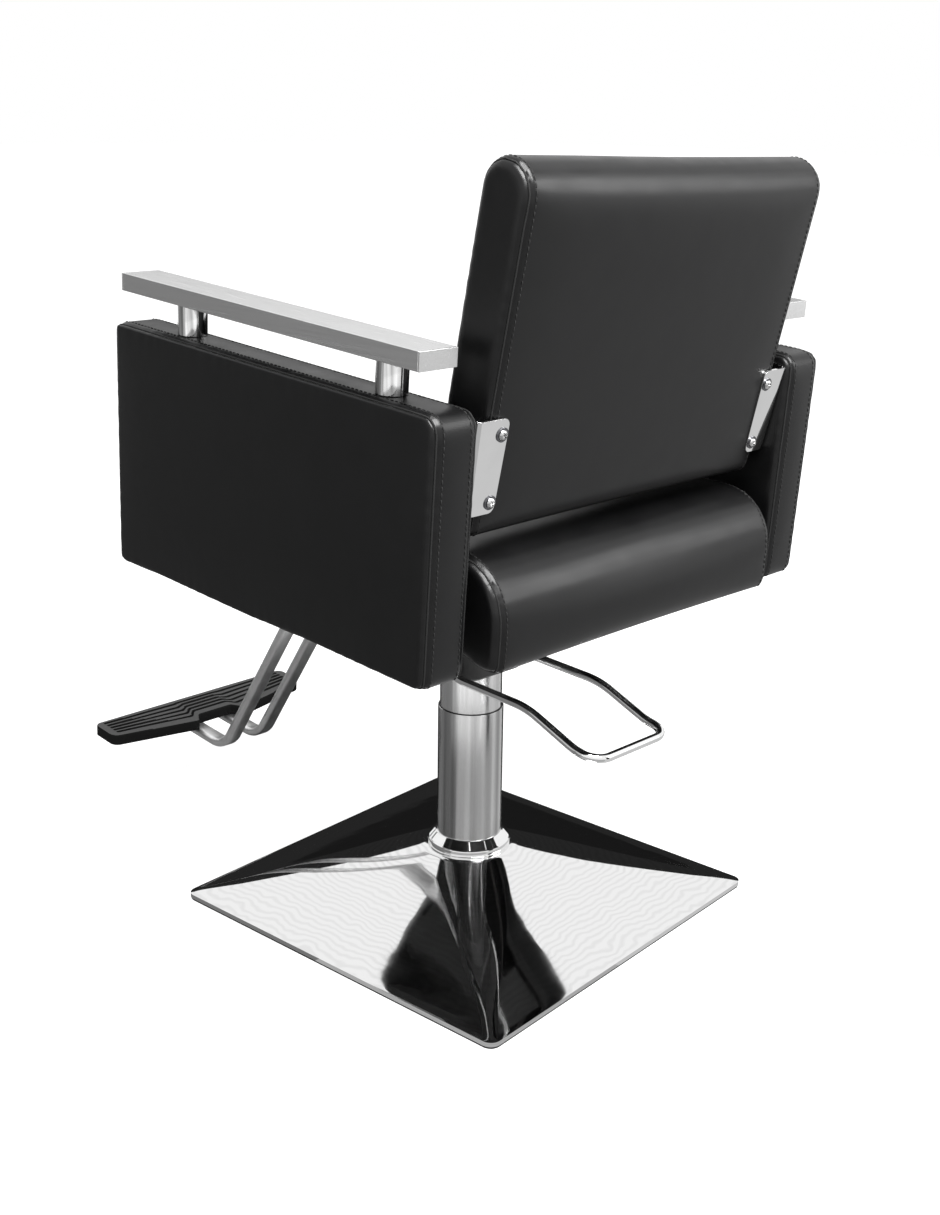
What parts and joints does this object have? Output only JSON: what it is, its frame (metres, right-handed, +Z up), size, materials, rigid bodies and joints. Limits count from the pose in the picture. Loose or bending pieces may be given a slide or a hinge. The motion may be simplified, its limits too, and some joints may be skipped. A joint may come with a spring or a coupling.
{
  "type": "styling chair",
  "caption": "Foot-pumped styling chair on a square pyramid base: padded seat, arms and reclined back, bars over the arms, a rod pedal behind and a footrest in front.",
  "frame": {"origin": "on the column's axis at floor level", "axes": "+Z up, -Y the way the sitter faces, +X the sitter's left"},
  "size_m": [0.616, 0.8978, 0.9154],
  "materials": {
    "black_upholstery": "smooth satin vinyl",
    "bright_chrome": "polished",
    "satin_steel": "satin",
    "plain_steel": "zinc plated",
    "brushed_aluminium": "brushed",
    "black_paint": "satin powder coat",
    "rubber_black": "matte",
    "black_plastic": "matte, moulded",
    "plywood": "raw",
    "cage_brass": "plain"
  },
  "bodies": {
    "base": {"base_mat": "rubber_black", "base_plate": "plain_steel", "base_cover": "bright_chrome", "base_collar": "bright_chrome", "tube_flange": "black_paint", "flange_bolts": "plain_steel", "column_tube": "satin_steel", "column_guide_bush": "black_plastic", "thrust_race_lower": "plain_steel"},
    "ram": {"thrust_balls": "plain_steel", "thrust_cage": "cage_brass", "thrust_race_upper": "plain_steel", "ram_rod": "bright_chrome", "ram_piston": "plain_steel", "piston_seal": "rubber_black", "ram_nut": "plain_steel"},
    "seat": {"arm_bar_left": "brushed_aluminium", "arm_bar_right": "brushed_aluminium", "arm_bolts": "plain_steel", "arm_core_left": "plywood", "arm_core_right": "plywood", "arm_panel_left": "black_upholstery", "arm_panel_right": "black_upholstery", "arm_posts": "bright_chrome", "back_board": "plywood", "back_bracket_left": "bright_chrome", "back_bracket_right": "bright_chrome", "back_cushion": "black_upholstery", "bar_end_caps": "brushed_aluminium", "board_screws": "plain_steel", "bracket_screws": "bright_chrome", "bracket_side_screws": "plain_steel", "bracket_washers": "bright_chrome", "cross_bars": "black_paint", "footrest_bolts": "plain_steel", "footrest_pad": "black_plastic", "footrest_saddle": "black_paint", "footrest_strap": "satin_steel", "footrest_tube_left": "satin_steel", "footrest_tube_right": "satin_steel", "frame_rails": "black_paint", "frame_webs": "black_paint", "head_bolts": "plain_steel", "lifter_gland": "plain_steel", "lifter_tube": "bright_chrome", "mount_plate": "black_paint", "pad_screws": "plain_steel", "plunger_barrel": "plain_steel", "plunger_spring": "plain_steel", "post_studs": "plain_steel", "pressure_tube": "plain_steel", "pump_head": "black_paint", "rod_seal": "rubber_black", "seat_board": "plywood", "seat_cushion": "black_upholstery"},
    "pedal": {"pedal_shaft": "plain_steel", "pedal_hubs": "black_paint", "hub_screws": "plain_steel", "pedal_loop": "bright_chrome"},
    "plunger": {"pump_plunger": "plain_steel"}
  },
  "joints": [
    {"name": "swivel", "type": "hinge", "parent": "base", "child": "ram", "pos_m": [0, 0, 0], "axis": [0, 0, 1], "continuous": true},
    {"name": "lift", "type": "slide", "parent": "ram", "child": "seat", "axis": [0, 0, 1], "range_m": [-0.045, 0.105]},
    {"name": "pedal_hinge", "type": "hinge", "parent": "seat", "child": "pedal", "pos_m": [0, 0, 0.332], "axis": [-1, 0, 0], "range_deg": [0, 20], "stiffness_Nm_per_rad": 8, "springref_deg": -20.05},
    {"name": "plunger_slide", "type": "slide", "parent": "seat", "child": "plunger", "axis": [0, 0, -1], "range_m": [0, 0.0105], "deforming": ["plunger_spring"]}
  ],
  "couplings": [
    {"joint": "plunger_slide", "follows": "pedal_hinge", "m_per_rad": 0.0292}
  ]
}
